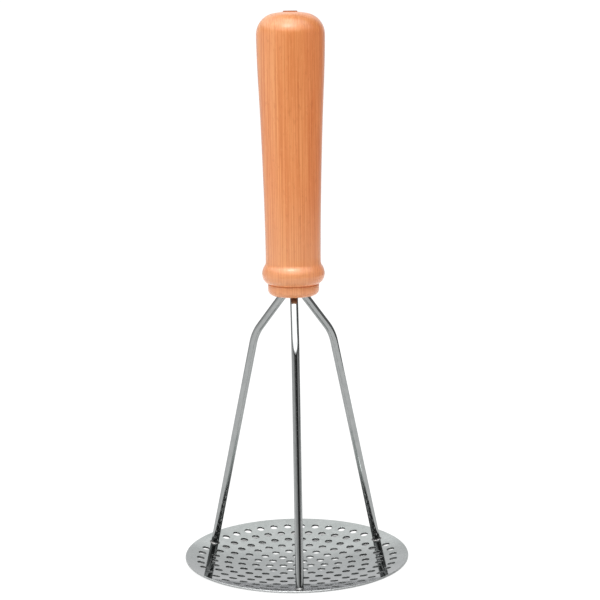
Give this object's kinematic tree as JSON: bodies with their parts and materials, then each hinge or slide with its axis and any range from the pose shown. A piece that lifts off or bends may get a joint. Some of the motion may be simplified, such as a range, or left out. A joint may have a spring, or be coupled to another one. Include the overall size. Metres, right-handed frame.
{
  "type": "potato masher",
  "caption": "Hand masher with a turned wooden handle, bent wire legs and a dished, perforated steel disc.",
  "frame": {"origin": "centre of the disc's underside, where the masher rests", "axes": "+Z along the handle's axis, up from the disc to the handle's end; -Y towards the front leg; +X to the right"},
  "size_m": [0.1004, 0.1004, 0.2475],
  "materials": {
    "handle_wood": "clear lacquer, glossy",
    "leg_chrome": "bright chrome plate",
    "weld_metal": "plated weld bead",
    "disc_steel": "polished stainless sheet"
  },
  "bodies": {
    "root": {"handle": "handle_wood", "leg_front": "leg_chrome", "leg_right": "leg_chrome", "leg_left": "leg_chrome", "foot_weld_front": "weld_metal", "foot_weld_right": "weld_metal", "foot_weld_left": "weld_metal", "mashing_disc": "disc_steel"}
  },
  "joints": []
}
